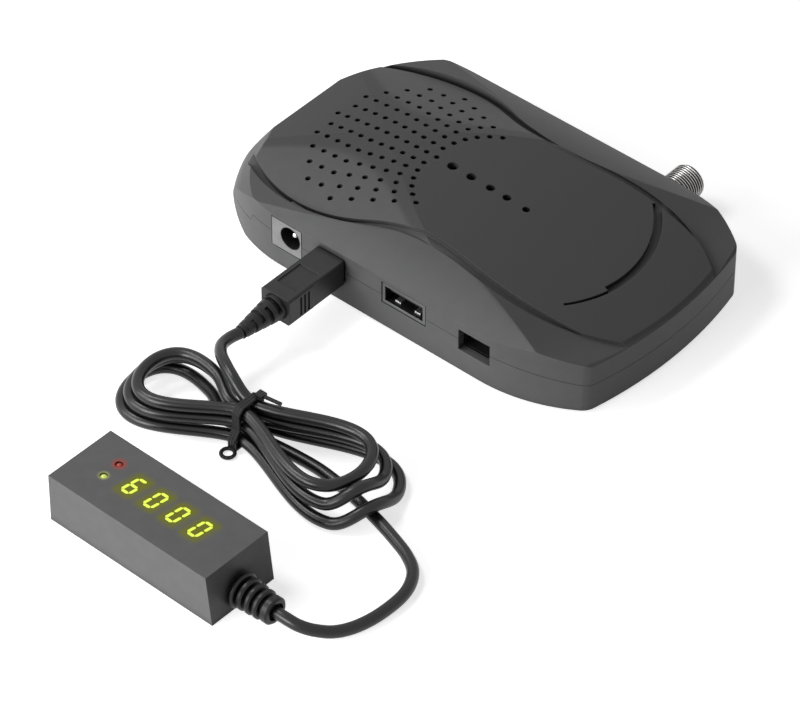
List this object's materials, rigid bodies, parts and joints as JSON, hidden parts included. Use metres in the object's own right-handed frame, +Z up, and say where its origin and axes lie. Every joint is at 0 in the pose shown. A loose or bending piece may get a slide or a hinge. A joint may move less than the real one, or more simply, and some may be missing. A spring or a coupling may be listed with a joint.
{
  "type": "satellite receiver",
  "caption": "Small charcoal satellite receiver with an hourglass plate, vent holes and port walls, and a corded plug-in display with glowing digits.",
  "frame": {"origin": "centre of the receiver's case on the table it stands on, in the plane of its feet", "axes": "+X to the narrow end, -Y out of the wall that holds the display's plug, +Z up"},
  "size_m": [0.1303, 0.1938, 0.0231],
  "materials": {
    "cover_plastic": "fine matt charcoal moulding",
    "rubber": "matt black rubber",
    "screw_steel": "zinc plated",
    "board": "green solder mask",
    "chip_plastic": "matt black epoxy",
    "black_aluminium": "black anodised",
    "tin_plate": "bright tin plate",
    "capacitor_sleeve": "dark shrink sleeve",
    "ferrite": "dark grey ferrite",
    "jack_grey": "light grey moulding",
    "bright_pin": "polished nickel",
    "socket_plastic": "black moulding",
    "white_plastic": "white moulding",
    "gold_contact": "gold flash",
    "thread_nickel": "nickel plated thread",
    "plug_plastic": "satin charcoal overmould",
    "cord_jacket": "satin black jacket",
    "tie_plastic": "black plastic covered wire",
    "display_plastic": "smoke grey plastic",
    "digit_light": "glowing yellow-green bars",
    "red_lens": "red lens",
    "green_lens": "yellow-green lens"
  },
  "bodies": {
    "receiver": {"top_cover": "cover_plastic", "bottom_cover": "cover_plastic", "rubber_feet": "rubber", "case_screws": "screw_steel", "pcb_screws": "screw_steel", "main_board": "board", "processor": "chip_plastic", "heat_sink": "black_aluminium", "memory_chip": "chip_plastic", "flash_chip": "chip_plastic", "crystal": "tin_plate", "tuner_can": "tin_plate", "tuner_chip": "chip_plastic", "capacitors": "capacitor_sleeve", "inductors": "ferrite", "regulators": "chip_plastic", "dc_jack": "jack_grey", "dc_jack_pin": "bright_pin", "display_socket_shell": "tin_plate", "display_socket_tongue": "socket_plastic", "usb_shell": "tin_plate", "usb_insulator": "white_plastic", "usb_contacts": "gold_contact", "serial_jack": "socket_plastic", "serial_contacts": "gold_contact", "lnb_connector": "thread_nickel", "lnb_insulator": "white_plastic", "lnb_contact": "gold_contact", "hdmi_shell": "tin_plate", "hdmi_tongue": "socket_plastic", "av_jack": "socket_plastic"},
    "display_lead": {"plug_shell": "tin_plate", "plug_tongue": "socket_plastic", "plug_housing": "plug_plastic", "plug_strain_relief": "plug_plastic", "cord_plug_side": "cord_jacket", "cord_hank": "cord_jacket", "cord_display_side": "cord_jacket", "hank_tie": "tie_plastic", "display_strain_relief": "plug_plastic", "display_case": "display_plastic", "display_base": "display_plastic", "display_board": "board", "digit_module": "socket_plastic", "digit_segments": "digit_light", "power_led": "red_lens", "signal_led": "green_lens", "ir_receiver": "chip_plastic"}
  },
  "joints": [
    {"name": "display_plug_slide", "type": "slide", "parent": "receiver", "child": "display_lead", "axis": [0, -1, 0], "range_m": [0, 0.012]}
  ]
}
